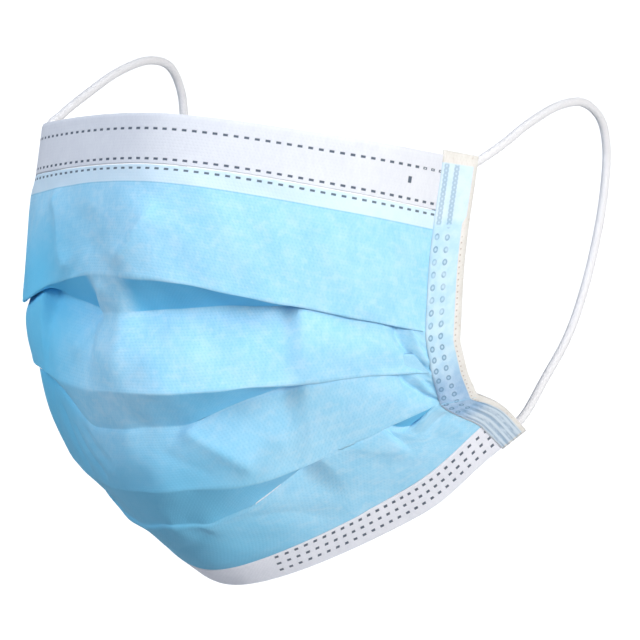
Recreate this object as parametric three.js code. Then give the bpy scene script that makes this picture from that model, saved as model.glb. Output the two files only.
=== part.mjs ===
// Pleated face mask with ear loops, in the rounded form that it has when worn.
// Millimetres, +Z up, the front towards -Y, the wearer's left side towards +X.
// The origin is the middle of the top edge, where the mask rests on the bridge of the nose.
import * as THREE from "three";

// Overall form
const HALF_WIDTH = 63.5; // middle plane to the side edge of the cloth
const REACH_BACK = 80; // nose bridge back to the lower rear corners
const DROP = 131.5; // nose bridge down to the lower edge under the chin
const RIGHT_EDGE_SAG = 4; // how much lower the side edge hangs on the wearer's right

// Cloth and hems
const CLOTH_WALL = 1.4; // the three plies, shown thicker than real cloth
const TOP_HEM_HEIGHT = 13.5; // white band along the top edge
const BOTTOM_HEM_HEIGHT = 9.5; // white band along the lower edge
const WIRE_CHANNEL_TOP = 4.1; // top edge to the upper weld line of the nose wire
const WIRE_CHANNEL_HEIGHT = 8; // between the two weld lines
const WIRE_CHANNEL_RISE = 1.2; // how far the channel stands out
const WIRE_CHANNEL_REACH = 66; // half length of the channel along the band
const WIRE_CHANNEL_FADE = 6; // how long the channel takes to run out at each end
const FIT_GAP = 0.3; // clearance between neighbouring pieces

// Pleats: three folds that face down, open in front and closed at the sides
const PLEAT_LAP = 2.4; // how far the lower cloth lies behind a closed fold
const PLEAT_SHUT_DROP = 0.5; // how far below a shut fold the next panel starts
const PLEAT_OPEN_LEFT = 40; // from the middle to where the folds are shut, wearer's left
const PLEAT_OPEN_RIGHT = 62; // the same on the wearer's right, where they gape further

// Side bindings
const BINDING_WIDTH = 9.5;
const BINDING_WALL = 1;
const BINDING_TAB_TOP = 2; // how far the binding stands past the top edge
const BINDING_TAB_LOW = 0.5; // how far the binding stands past the lower edge

// Ear loops
const LOOP_DIAMETER = 2.3;
const LOOP_REACH = 67.5; // side edge back to the rear of the loop
const LOOP_SPREAD = 1.5; // how far the rear of the loop stands out sideways
const LOOP_HEIGHT = 80; // height of the loop
const LOOP_TOP_END = 3.5; // top corner down to the upper end of the loop
const LOOP_LOW_END = 5.5; // lower corner up to the lower end of the loop
const LOOP_STEP = 5; // between cross-sections along the loop
const LOOP_SIDES = 8;

// Mesh fineness
const STATIONS = 34; // strips across the mask
const BINDING_STRIPS = 2; // of them, under each binding

const HALF_ARC = 88; // half length of the cloth from side edge to side edge

// The side edge from the top corner to the lower corner.
// out = share of HALF_WIDTH, back = share of REACH_BACK, down = share of DROP.
const SIDE_EDGE = [
  { out: 1.0, back: 0.675, down: 0.107 },
  { out: 1.0, back: 0.625, down: 0.22 },
  { out: 1.0, back: 0.55, down: 0.44 },
  { out: 0.985, back: 0.67, down: 0.588 },
  { out: 0.98, back: 0.81, down: 0.617 },
  { out: 0.968, back: 0.915, down: 0.65 },
  { out: 0.96, back: 1.0, down: 0.692 },
];

// Sections across the mask, from the top edge to the lower edge.
// front* = the point in the middle plane, cheek* = the point on the wearer's left cheek,
// side = share of the side edge where the section ends,
// sag = how much lower the section hangs on the wearer's right cheek (share of DROP).
const SECTIONS = {
  top: { frontBack: 0, frontDown: 0, cheekOut: 0.735, cheekBack: 0.24, cheekDown: 0.043, side: 0, sag: 0.026 },
  brow: { frontBack: -0.087, frontDown: 0.19, cheekOut: 0.74, cheekBack: 0.17, cheekDown: 0.24, side: 0.25, sag: 0.015 },
  fold1: { frontBack: -0.11, frontDown: 0.321, cheekOut: 0.735, cheekBack: 0.15, cheekDown: 0.395, side: 0.48, sag: 0 },
  fold2: { frontBack: -0.128, frontDown: 0.556, cheekOut: 0.72, cheekBack: 0.155, cheekDown: 0.523, side: 0.585, sag: 0.035 },
  fold3: { frontBack: -0.049, frontDown: 0.76, cheekOut: 0.7, cheekBack: 0.325, cheekDown: 0.666, side: 0.69, sag: 0.07 },
  jaw: { frontBack: 0.22, frontDown: 0.928, cheekOut: 0.69, cheekBack: 0.565, cheekDown: 0.758, side: 0.85, sag: 0.03 },
  bottom: { frontBack: 0.44, frontDown: 1.0, cheekOut: 0.66, cheekBack: 0.78, cheekDown: 0.862, side: 1, sag: 0.02 },
};

// Pleats: each fold's strip, in the middle plane, runs in and down to where the next panel starts.
// in = depth of the strip behind the fold, down = its height, crown = how far the panel below bows out.
const PLEATS = [
  { fold: "fold1", in: 3.4, down: 9.8, crown: 1.2 },
  { fold: "fold2", in: 3.6, down: 9.6, crown: 1.0 },
  { fold: "fold3", in: 7.0, down: 8.8, crown: 0 },
];

// Centre line of an ear loop behind the side edge.
// back = share of LOOP_REACH behind the top corner, down = share of LOOP_HEIGHT below the loop's top.
const LOOP_PATH = [
  { back: 0.17, down: 0.085 },
  { back: 0.41, down: 0.03 },
  { back: 0.64, down: 0.0 },
  { back: 0.82, down: 0.015 },
  { back: 0.955, down: 0.09 },
  { back: 1.0, down: 0.195 },
  { back: 0.985, down: 0.34 },
  { back: 0.93, down: 0.495 },
  { back: 0.84, down: 0.655 },
  { back: 0.73, down: 0.785 },
  { back: 0.56, down: 0.905 },
];
const LOOP_TOP_DROP = 6.5; // nose bridge down to the highest point of the loop

// A smooth curve through the given points.
function smoothCurve(points) {
  return new THREE.CatmullRomCurve3(points, false, "catmullrom", 0.5);
}

// The side edge as a curve; side is +1 for the wearer's left and -1 for the right.
function sideEdge(side) {
  return smoothCurve(
    SIDE_EDGE.map(
      (p) =>
        new THREE.Vector3(
          side * p.out * HALF_WIDTH,
          p.back * REACH_BACK,
          -p.down * DROP - (side < 0 ? RIGHT_EDGE_SAG : 0),
        ),
    ),
  );
}

// A section of the mask as a curve from the wearer's right side edge to the left one.
function sectionCurve(name) {
  const s = SECTIONS[name];
  const cheek = (side) =>
    new THREE.Vector3(
      side * s.cheekOut * HALF_WIDTH,
      s.cheekBack * REACH_BACK,
      -(s.cheekDown + (side < 0 ? s.sag : 0)) * DROP,
    );
  return smoothCurve([
    sideEdge(-1).getPointAt(s.side),
    cheek(-1),
    new THREE.Vector3(0, s.frontBack * REACH_BACK, -s.frontDown * DROP),
    cheek(1),
    sideEdge(1).getPointAt(s.side),
  ]);
}

// Where the strips across the mask lie: -1 is the right side edge, +1 the left one.
function stationList() {
  const bound = BINDING_WIDTH / HALF_ARC;
  const inner = STATIONS - 2 * BINDING_STRIPS;
  const list = [];
  for (let i = 0; i < BINDING_STRIPS; i++) list.push(-1 + (bound * i) / BINDING_STRIPS);
  for (let i = 0; i <= inner; i++) list.push((1 - bound) * ((2 * i) / inner - 1));
  for (let i = 1; i <= BINDING_STRIPS; i++) list.push(1 - bound + (bound * i) / BINDING_STRIPS);
  return list;
}

// 1 where the pleats gape, falling to 0 where they are shut.
function openness(q) {
  const reach = (q < 0 ? PLEAT_OPEN_RIGHT : PLEAT_OPEN_LEFT) / HALF_ARC;
  return 1 - THREE.MathUtils.smoothstep(Math.abs(q), 0.25 * reach, reach);
}

// 1 on the free cloth, falling to 0 where the binding presses the layers flat.
function fullness(q) {
  const edge = 1 - BINDING_WIDTH / HALF_ARC;
  return 1 - THREE.MathUtils.smoothstep(Math.abs(q), edge - 0.07, edge);
}

const stations = stationList();

// The outer face of the mask as rows of points, one point a station.
function sectionRow(name) {
  const curve = sectionCurve(name);
  curve.arcLengthDivisions = 400;
  return stations.map((q) => curve.getPointAt((q + 1) / 2));
}

// The direction towards the face, level, at each station of a row.
function inwardRow(row) {
  return row.map((p, i) => {
    const a = row[Math.max(0, i - 1)];
    const b = row[Math.min(row.length - 1, i + 1)];
    return new THREE.Vector3(a.y - b.y, b.x - a.x, 0).normalize();
  });
}

// The row where the panel below a pleat starts.
function belowFold(foldRow, pleat) {
  const inward = inwardRow(foldRow);
  return foldRow.map((p, i) => {
    const open = openness(stations[i]);
    const lap = PLEAT_LAP * fullness(stations[i]);
    const depth = THREE.MathUtils.lerp(lap, pleat.in, open);
    const drop = THREE.MathUtils.lerp(PLEAT_SHUT_DROP, pleat.down, open);
    return p.clone().addScaledVector(inward[i], depth).add(new THREE.Vector3(0, 0, -drop));
  });
}

// A row between two others, pushed out from the face by bow at full cloth.
function betweenRow(above, below, share, bow) {
  const inward = inwardRow(above);
  return above.map((p, i) =>
    p.clone().lerp(below[i], share).addScaledVector(inward[i], -bow * fullness(stations[i])),
  );
}

// Rows of a smooth panel that runs through the given rows, cut at the given distances from its top.
function panelRows(guides, distances) {
  const rows = distances.map(() => []);
  stations.forEach((q, i) => {
    const curve = smoothCurve(guides.map((g) => g[i]));
    const length = curve.getLength();
    distances.forEach((d, k) => {
      const share = d < 0 ? 1 + d / length : d / length;
      rows[k].push(curve.getPointAt(THREE.MathUtils.clamp(share, 0, 1)));
    });
  });
  return rows;
}

// Rows evenly spread between two distances from the top of a panel.
function evenRows(guides, from, to, count) {
  const rows = Array.from({ length: count + 1 }, () => []);
  stations.forEach((q, i) => {
    const curve = smoothCurve(guides.map((g) => g[i]));
    const length = curve.getLength();
    for (let k = 0; k <= count; k++) {
      const d = THREE.MathUtils.lerp(from, length + to, k / count);
      rows[k].push(curve.getPointAt(THREE.MathUtils.clamp(d / length, 0, 1)));
    }
  });
  return rows;
}

// Outward normals of a grid of rows.
function gridNormals(rows) {
  return rows.map((row, r) =>
    row.map((p, i) => {
      const up = rows[Math.max(0, r - 1)][i];
      const down = rows[Math.min(rows.length - 1, r + 1)][i];
      const right = row[Math.max(0, i - 1)];
      const left = row[Math.min(row.length - 1, i + 1)];
      const across = left.clone().sub(right).normalize();
      const along = down.clone().sub(up).normalize();
      return along.cross(across).normalize();
    }),
  );
}

// A grid moved along its normals.
function offsetGrid(rows, normals, distance) {
  return rows.map((row, r) =>
    row.map((p, i) => {
      const d = typeof distance === "function" ? distance(r, stations[i]) : distance;
      return p.clone().addScaledVector(normals[r][i], d);
    }),
  );
}

// A closed body between two grids of the same size.
function slabGeometry(outer, inner) {
  const rows = outer.length;
  const columns = outer[0].length;
  const points = [...outer.flat(), ...inner.flat()];
  const half = rows * columns;
  const index = [];
  const quad = (a, b, c, d) => index.push(a, b, c, a, c, d);
  for (let r = 0; r + 1 < rows; r++) {
    for (let i = 0; i + 1 < columns; i++) {
      const a = r * columns + i;
      quad(a, a + columns, a + columns + 1, a + 1);
      quad(half + a, half + a + 1, half + a + columns + 1, half + a + columns);
    }
  }
  for (let i = 0; i + 1 < columns; i++) {
    const last = (rows - 1) * columns + i;
    quad(i, i + 1, half + i + 1, half + i);
    quad(last + 1, last, half + last, half + last + 1);
  }
  for (let r = 0; r + 1 < rows; r++) {
    const a = r * columns;
    const b = a + columns - 1;
    quad(a + columns, a, half + a, half + a + columns);
    quad(b, b + columns, half + b + columns, half + b);
  }
  const geometry = new THREE.BufferGeometry();
  geometry.setAttribute("position", new THREE.Float32BufferAttribute(points.flatMap((p) => p.toArray()), 3));
  geometry.setIndex(index);
  return geometry;
}

// A closed body through rings of the same number of points, capped at both ends.
function ringGeometry(rings, capTriangles) {
  const n = rings[0].length;
  const points = rings.flat();
  const index = [];
  for (let r = 0; r + 1 < rings.length; r++) {
    for (let k = 0; k < n; k++) {
      const a = r * n + k;
      const b = r * n + ((k + 1) % n);
      index.push(a, b, b + n, a, b + n, a + n);
    }
  }
  const end = (rings.length - 1) * n;
  for (const [a, b, c] of capTriangles) {
    index.push(a, c, b);
    index.push(end + a, end + b, end + c);
  }
  const geometry = new THREE.BufferGeometry();
  geometry.setAttribute("position", new THREE.Float32BufferAttribute(points.flatMap((p) => p.toArray()), 3));
  geometry.setIndex(index);
  return geometry;
}

// Signed volume of an indexed geometry.
function signedVolume(geometry) {
  const p = geometry.getAttribute("position");
  const index = geometry.getIndex();
  const a = new THREE.Vector3();
  const b = new THREE.Vector3();
  const c = new THREE.Vector3();
  let sum = 0;
  for (let i = 0; i < index.count; i += 3) {
    a.fromBufferAttribute(p, index.getX(i));
    b.fromBufferAttribute(p, index.getX(i + 1));
    c.fromBufferAttribute(p, index.getX(i + 2));
    sum += a.dot(b.cross(c)) / 6;
  }
  return sum;
}

// The geometry with its faces turned outwards.
function facingOut(geometry) {
  if (signedVolume(geometry) > 0) return geometry;
  const index = geometry.getIndex().array.slice();
  for (let i = 0; i < index.length; i += 3) [index[i + 1], index[i + 2]] = [index[i + 2], index[i + 1]];
  geometry.setIndex(new THREE.BufferAttribute(index, 1));
  return geometry;
}

// Materials
const BLUE_NONWOVEN = new THREE.MeshStandardMaterial({ color: 0x8fd0f2, roughness: 0.85, name: "blue_nonwoven" });
const WHITE_NONWOVEN = new THREE.MeshStandardMaterial({ color: 0xe6e9f2, roughness: 0.85, name: "white_nonwoven" });
const BINDING_NONWOVEN = new THREE.MeshStandardMaterial({ color: 0xdfddd9, roughness: 0.9, name: "binding_nonwoven" });
const LOOP_ELASTIC = new THREE.MeshStandardMaterial({ color: 0xe8e8ec, roughness: 0.8, name: "loop_elastic" });

const mask = new THREE.Group();
mask.name = "face_mask";

function addPiece(name, geometry, material) {
  geometry.computeVertexNormals();
  const mesh = new THREE.Mesh(geometry, material);
  mesh.name = name;
  mask.add(mesh);
}

// Rows of the whole cloth, from the top edge to the lower edge
const row = Object.fromEntries(Object.keys(SECTIONS).map((name) => [name, sectionRow(name)]));
const below = PLEATS.map((pleat) => belowFold(row[pleat.fold], pleat));

const upperGuides = [row.top, row.brow, row.fold1];
const channelLow = WIRE_CHANNEL_TOP + WIRE_CHANNEL_HEIGHT;
const hemRows = panelRows(upperGuides, [
  0,
  WIRE_CHANNEL_TOP - 0.4,
  WIRE_CHANNEL_TOP + 0.8,
  WIRE_CHANNEL_TOP + WIRE_CHANNEL_HEIGHT / 2,
  channelLow - 0.8,
  channelLow + 0.4,
  TOP_HEM_HEIGHT,
]);
const HEM_RISE = [0, 0, 1, 1.15, 1, 0, 0]; // share of WIRE_CHANNEL_RISE at each row of the band

const upperRows = evenRows(upperGuides, TOP_HEM_HEIGHT + FIT_GAP, 0, 4);
const middleRows1 = [below[0], betweenRow(below[0], row.fold2, 0.5, PLEATS[0].crown), row.fold2];
const middleRows2 = [below[1], betweenRow(below[1], row.fold3, 0.5, PLEATS[1].crown), row.fold3];
const lowerGuides = [below[2], row.jaw, row.bottom];
const lowerRows = evenRows(lowerGuides, 0, -BOTTOM_HEM_HEIGHT - FIT_GAP, 4);
const bottomHemRows = panelRows(lowerGuides, [-BOTTOM_HEM_HEIGHT, -BOTTOM_HEM_HEIGHT / 2, 0]).slice(0, 2);
bottomHemRows.push(row.bottom);

const panelSkin = [...upperRows, ...middleRows1, ...middleRows2, ...lowerRows];
const clothRows = [...hemRows, ...panelSkin, ...bottomHemRows];
const clothNormals = gridNormals(clothRows);
const panelStart = hemRows.length;
const panelEnd = panelStart + panelSkin.length;

// Top hem: the white band with the raised channel of the nose wire
const channelShare = (q) =>
  1 - THREE.MathUtils.smoothstep(Math.abs(q) * HALF_ARC, WIRE_CHANNEL_REACH - WIRE_CHANNEL_FADE, WIRE_CHANNEL_REACH);
const hemNormals = clothNormals.slice(0, panelStart);
addPiece(
  "top_hem",
  facingOut(
    slabGeometry(
      offsetGrid(hemRows, hemNormals, (r, q) => HEM_RISE[r] * WIRE_CHANNEL_RISE * channelShare(q)),
      offsetGrid(hemRows, hemNormals, -CLOTH_WALL),
    ),
  ),
  WHITE_NONWOVEN,
);

// Outer panel: the blue pleated front
const panelNormals = clothNormals.slice(panelStart, panelEnd);
addPiece(
  "outer_panel",
  facingOut(slabGeometry(panelSkin, offsetGrid(panelSkin, panelNormals, -CLOTH_WALL))),
  BLUE_NONWOVEN,
);

// Bottom hem: the white band under the chin
const bottomNormals = clothNormals.slice(panelEnd);
addPiece(
  "bottom_hem",
  facingOut(slabGeometry(bottomHemRows, offsetGrid(bottomHemRows, bottomNormals, -CLOTH_WALL))),
  WHITE_NONWOVEN,
);

// Side bindings: a strip folded round each side edge
function bindingGeometry(side) {
  const edge = side > 0 ? stations.length - 1 : 0;
  const inwardStep = side > 0 ? -1 : 1;
  const columns = Array.from({ length: BINDING_STRIPS + 1 }, (_, k) => edge + k * inwardStep);
  const lines = clothRows.map((r, n) => ({
    points: columns.map((c) => r[c]),
    normals: columns.map((c) => clothNormals[n][c]),
  }));
  const tab = (line, next, length) => ({
    points: line.points.map((p, k) => p.clone().add(p.clone().sub(next.points[k]).setLength(length))),
    normals: line.normals,
  });
  const all = [
    tab(lines[0], lines[1], BINDING_TAB_TOP),
    ...lines,
    tab(lines.at(-1), lines.at(-2), BINDING_TAB_LOW),
  ];
  const high = FIT_GAP + BINDING_WALL;
  const low = -CLOTH_WALL - FIT_GAP;
  const rings = all.map(({ points, normals }) => {
    const out = points[0].clone().sub(points[1]).normalize();
    const at = (k, lift, past = 0) =>
      points[k].clone().addScaledVector(normals[k], lift).addScaledVector(out, past);
    return [
      at(0, high, high),
      at(0, high),
      at(1, high),
      at(2, high),
      at(2, FIT_GAP),
      at(1, FIT_GAP),
      at(0, FIT_GAP, FIT_GAP),
      at(0, low, FIT_GAP),
      at(1, low),
      at(2, low),
      at(2, low - BINDING_WALL),
      at(1, low - BINDING_WALL),
      at(0, low - BINDING_WALL),
      at(0, low - BINDING_WALL, high),
    ];
  });
  const cap = [
    [0, 1, 6],
    [1, 2, 5],
    [1, 5, 6],
    [2, 3, 4],
    [2, 4, 5],
    [0, 6, 7],
    [0, 7, 13],
    [7, 12, 13],
    [7, 8, 12],
    [8, 11, 12],
    [8, 9, 11],
    [9, 10, 11],
  ];
  return facingOut(ringGeometry(rings, cap));
}
addPiece("side_binding_left", bindingGeometry(1), BINDING_NONWOVEN);
addPiece("side_binding_right", bindingGeometry(-1), BINDING_NONWOVEN);

// Ear loops: a round elastic cord from the top of each side edge to its lower corner
function loopPoints(side) {
  const edge = sideEdge(side);
  const corner = edge.getPointAt(0);
  const edgeLength = edge.getLength();
  const column = side > 0 ? stations.length - 1 : 0;
  const outward = clothRows[0][column].clone().sub(clothRows[0][column - side]).normalize();
  const lowOutward = row.bottom[column].clone().sub(row.bottom[column - side]).normalize();
  const wall = 2 * FIT_GAP + BINDING_WALL;
  const top = edge.getPointAt(LOOP_TOP_END / edgeLength).addScaledVector(outward, wall);
  const low = edge.getPointAt(1 - LOOP_LOW_END / edgeLength).addScaledVector(lowOutward, wall);
  const path = LOOP_PATH.map((p) => {
    const x = THREE.MathUtils.lerp(top.x, low.x, p.down) + side * p.back * LOOP_SPREAD;
    return new THREE.Vector3(x, corner.y + p.back * LOOP_REACH, -LOOP_TOP_DROP - p.down * LOOP_HEIGHT);
  });
  const lead = (end, away, next) => {
    const along = next.clone().sub(end).normalize();
    return end.clone().addScaledVector(away.clone().multiplyScalar(2).add(along).normalize(), 3);
  };
  return [top, lead(top, outward, path[0]), ...path, lead(low, lowOutward, path.at(-1)), low];
}

function loopGeometry(side) {
  const curve = new THREE.CatmullRomCurve3(loopPoints(side), false, "centripetal");
  const section = new THREE.Shape(
    Array.from({ length: LOOP_SIDES }, (_, k) => {
      const angle = (2 * Math.PI * k) / LOOP_SIDES;
      return new THREE.Vector2(Math.cos(angle), Math.sin(angle)).multiplyScalar(LOOP_DIAMETER / 2);
    }),
  );
  return new THREE.ExtrudeGeometry(section, {
    steps: Math.round(curve.getLength() / LOOP_STEP),
    curveSegments: 1,
    bevelEnabled: false,
    extrudePath: curve,
  });
}
addPiece("ear_loop_left", loopGeometry(1), LOOP_ELASTIC);
addPiece("ear_loop_right", loopGeometry(-1), LOOP_ELASTIC);

export default mask;
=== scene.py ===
"""Pleated face mask with ear loops, curved as worn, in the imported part's frame.

The cloth is made as grids of points that follow the worn form section by section, with the three
pleats folded in it. All sizes are millimetres here and become metres when a mesh is made.
"""

import logging  # noqa: E402
import math  # noqa: E402
from collections.abc import Sequence  # noqa: E402
from dataclasses import dataclass, field  # noqa: E402
from enum import Enum  # noqa: E402

import bpy  # noqa: E402
import numpy as np  # noqa: E402
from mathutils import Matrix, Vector  # noqa: E402


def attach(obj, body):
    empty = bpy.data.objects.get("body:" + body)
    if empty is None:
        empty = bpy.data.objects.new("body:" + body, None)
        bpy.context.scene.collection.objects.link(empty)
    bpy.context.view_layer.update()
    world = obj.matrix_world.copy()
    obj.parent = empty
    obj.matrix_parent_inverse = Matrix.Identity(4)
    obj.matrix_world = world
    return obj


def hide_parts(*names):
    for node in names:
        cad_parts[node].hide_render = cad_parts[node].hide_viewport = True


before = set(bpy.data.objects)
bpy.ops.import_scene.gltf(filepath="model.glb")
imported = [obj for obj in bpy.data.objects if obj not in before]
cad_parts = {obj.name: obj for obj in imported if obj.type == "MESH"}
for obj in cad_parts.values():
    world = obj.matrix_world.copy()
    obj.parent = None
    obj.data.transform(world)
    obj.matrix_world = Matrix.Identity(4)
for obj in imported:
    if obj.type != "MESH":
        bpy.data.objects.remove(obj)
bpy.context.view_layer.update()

LOG = logging.getLogger("face_mask")
MM = 0.001
CURVE_STEPS = 40

Grid = np.ndarray


class Side(Enum):
    """The wearer's two sides, by the sign of X."""

    LEFT = 1
    RIGHT = -1


# --------------------------------------------------------------------------- curves


def hermite(start: Grid, end: Grid, leave: Grid, arrive: Grid, t: Grid | float) -> Grid:
    """Points on a cubic between two points.

    Args:
        start: First point.
        end: Last point.
        leave: Slope at the first point.
        arrive: Slope at the last point.
        t: Share of the way, from 0 to 1.

    Returns:
        The points.
    """
    return (
        (2 * t**3 - 3 * t**2 + 1) * start
        + (t**3 - 2 * t**2 + t) * leave
        + (3 * t**2 - 2 * t**3) * end
        + (t**3 - t**2) * arrive
    )


def catmull_rom(controls: Grid, samples: int) -> Grid:
    """Runs smooth curves through control points.

    Args:
        controls: Points of shape (k, n, 3), for n curves side by side.
        samples: Steps between two control points.

    Returns:
        Points of shape ((k - 1) * samples + 1, n, 3).
    """
    first = 2 * controls[:1] - controls[1:2]
    last = 2 * controls[-1:] - controls[-2:-1]
    ext = np.concatenate([first, controls, last])
    t = (np.arange(samples) / samples)[:, None, None]
    parts = []
    for k in range(len(controls) - 1):
        p0, p1, p2, p3 = ext[k : k + 4]
        parts.append(hermite(p1, p2, (p2 - p0) / 2, (p3 - p1) / 2, t))
    return np.concatenate(parts + [controls[-1:]])


def at_lengths(curves: Grid, lengths: Grid) -> Grid:
    """Points at given distances along curves.

    Args:
        curves: Points of shape (m, n, 3).
        lengths: Distances of shape (r, n), from each curve's start.

    Returns:
        Points of shape (r, n, 3).
    """
    steps = np.linalg.norm(np.diff(curves, axis=0), axis=2)
    along = np.concatenate([np.zeros((1, curves.shape[1])), np.cumsum(steps, axis=0)])
    out = np.empty((lengths.shape[0], curves.shape[1], 3))
    for i in range(curves.shape[1]):
        for axis in range(3):
            out[:, i, axis] = np.interp(lengths[:, i], along[:, i], curves[:, i, axis])
    return out


def curve_lengths(curves: Grid) -> Grid:
    """Length of each of the curves of shape (m, n, 3)."""
    return np.linalg.norm(np.diff(curves, axis=0), axis=2).sum(axis=0)


def smoothstep(x: Grid, low: float, high: float) -> Grid:
    """0 below low, 1 above high and a smooth rise between them."""
    t = np.clip((x - low) / (high - low), 0, 1)
    return t * t * (3 - 2 * t)


def grid_normals(rows: Grid) -> Grid:
    """Outward normals of a grid whose rows run down the mask and whose columns run to +X.

    Args:
        rows: Points of shape (rows, columns, 3).

    Returns:
        Unit vectors of the same shape.
    """
    across = np.gradient(rows, axis=1)
    down = np.gradient(rows, axis=0)
    normal = np.cross(down, across)
    return normal / np.maximum(np.linalg.norm(normal, axis=2, keepdims=True), 1e-12)


def centripetal(points: Grid, samples: int) -> Grid:
    """A centripetal Catmull-Rom curve, as the part's source draws its cords.

    Args:
        points: Points to pass through, of shape (n, 3).
        samples: Steps between two of them.

    Returns:
        Points of shape ((n - 1) * samples + 1, 3).
    """
    first, last = 2 * points[0] - points[1], 2 * points[-1] - points[-2]
    ext = np.concatenate([[first], points, [last]])
    out: list[Grid] = []
    for k in range(len(points) - 1):
        p0, p1, p2, p3 = ext[k : k + 4]
        pairs = ((p0, p1), (p1, p2), (p2, p3))
        d0, d1, d2 = (max(float(np.linalg.norm(b - a)) ** 0.5, 1e-4) for a, b in pairs)
        m1 = ((p1 - p0) / d0 - (p2 - p0) / (d0 + d1) + (p2 - p1) / d1) * d1
        m2 = ((p2 - p1) / d1 - (p3 - p1) / (d1 + d2) + (p3 - p2) / d2) * d1
        out.extend(hermite(p1, p2, m1, m2, t) for t in np.arange(samples) / samples)
    out.append(points[-1])
    return np.array(out)


def unit(v: Grid) -> Grid:
    """Vectors at length 1."""
    return v / np.maximum(np.linalg.norm(v, axis=-1, keepdims=True), 1e-12)


def soften_rows(points: Grid, times: int) -> Grid:
    """Rounds sharp turns from row to row a little.

    Args:
        points: Points of shape (rows, columns, 3).
        times: How many times each row moves towards its neighbours.

    Returns:
        The softened points.
    """
    for _ in range(times):
        points = points.copy()
        points[1:-1] = points[1:-1] * 0.5 + (points[:-2] + points[2:]) * 0.25
    return points


# --------------------------------------------------------------------------- worn form


@dataclass(frozen=True)
class Section:
    """One section across the mask, as shares of the overall sizes."""

    front_back: float
    front_down: float
    cheek_out: float
    cheek_back: float
    cheek_down: float
    side: float
    sag: float


@dataclass(frozen=True)
class Pleat:
    """One pleat that faces down, as its strip shows under the fold's edge at places across.

    The crown is how far the panel below swells out, and the lead how far it starts off inwards.
    Each entry of shape is (across, lift, flare, drop, depth) in millimetres: how far the edge is
    lifted from the section and stands out from it, how far the strip's back crease lies below the
    edge (above it where the pleat is shut) and how far behind it.
    """

    fold: str
    crown: float
    lead: float
    shape: tuple[tuple[float, float, float, float, float], ...]

    def column(self, index: int, across: Grid) -> Grid:
        """One column of the shape at each station, with its corners slightly rounded.

        Args:
            index: Number of the column.
            across: Distance of each station from the middle.

        Returns:
            The values in millimetres.
        """
        table = np.array(self.shape)
        offsets = np.linspace(-1.5, 1.5, 7)
        spread = [np.interp(across + o, table[:, 0], table[:, index]) for o in offsets]
        return np.mean(spread, axis=0)


@dataclass
class WornForm:
    """The curved form that the cloth follows, with the part's own sizes."""

    half_width: float = 63.5
    reach_back: float = 80.0
    drop: float = 131.5
    right_edge_sag: float = 4.0
    half_arc: float = 88.0
    binding_width: float = 11.2
    side_edge: tuple[tuple[float, float, float], ...] = (
        (1.0, 0.675, 0.116),
        (1.0, 0.625, 0.225),
        (1.0, 0.55, 0.44),
        (0.985, 0.70, 0.604),
        (0.985, 0.825, 0.625),
        (0.98, 0.93, 0.656),
        (0.975, 1.03, 0.7),
    )
    sections: dict[str, Section] = field(
        default_factory=lambda: {
            "top": Section(0, 0, 0.735, 0.24, 0.043, 0, 0.026),
            "brow": Section(-0.087, 0.19, 0.74, 0.17, 0.24, 0.25, 0.015),
            "fold1": Section(-0.11, 0.321, 0.735, 0.15, 0.395, 0.48, 0),
            "fold2": Section(-0.128, 0.556, 0.72, 0.155, 0.523, 0.585, 0.035),
            "fold3": Section(-0.049, 0.76, 0.7, 0.325, 0.666, 0.69, 0.07),
            "jaw": Section(0.22, 0.928, 0.69, 0.565, 0.758, 0.85, 0.03),
            "bottom": Section(0.44, 1.0, 0.66, 0.78, 0.862, 1, 0.02),
        }
    )
    stations: Grid = field(default_factory=lambda: np.linspace(-1, 1, 241))

    def edge_curve(self, side: Side) -> Grid:
        """The side edge as a fine line.

        Args:
            side: Which side.

        Returns:
            Points of shape (m, 1, 3), from the top corner to the lower one.
        """
        points = np.array(
            [
                (
                    side.value * out * self.half_width,
                    back * self.reach_back,
                    -down * self.drop - (self.right_edge_sag if side is Side.RIGHT else 0),
                )
                for out, back, down in self.side_edge
            ]
        )
        return catmull_rom(points[:, None, :], 40)

    def edge_point(self, side: Side, share: float) -> Grid:
        """The point at a share of the side edge's length."""
        curve = self.edge_curve(side)
        return at_lengths(curve, curve_lengths(curve)[None] * share)[0, 0]

    def row(self, name: str) -> Grid:
        """A named section, spread evenly along its length.

        Args:
            name: The section's name.

        Returns:
            Points of shape (stations, 3).
        """
        s = self.sections[name]

        def cheek(side: Side) -> Grid:
            """The section's point on one cheek."""
            sag = s.sag if side is Side.RIGHT else 0
            return np.array(
                [
                    side.value * s.cheek_out * self.half_width,
                    s.cheek_back * self.reach_back,
                    -(s.cheek_down + sag) * self.drop,
                ]
            )

        controls = np.array(
            [
                self.edge_point(Side.RIGHT, s.side),
                cheek(Side.RIGHT),
                (0, s.front_back * self.reach_back, -s.front_down * self.drop),
                cheek(Side.LEFT),
                self.edge_point(Side.LEFT, s.side),
            ]
        )
        curve = catmull_rom(controls[:, None, :], 120)
        length = curve_lengths(curve)
        shares = (self.stations + 1) / 2
        return at_lengths(curve, shares[:, None] * length)[:, 0]

    def fullness(self) -> Grid:
        """1 on the free cloth and 0 where the binding presses the layers flat."""
        edge = 1 - self.binding_width / self.half_arc
        return 1 - smoothstep(np.abs(self.stations), edge - 0.06, edge)


# --------------------------------------------------------------------------- cloth detail


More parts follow.
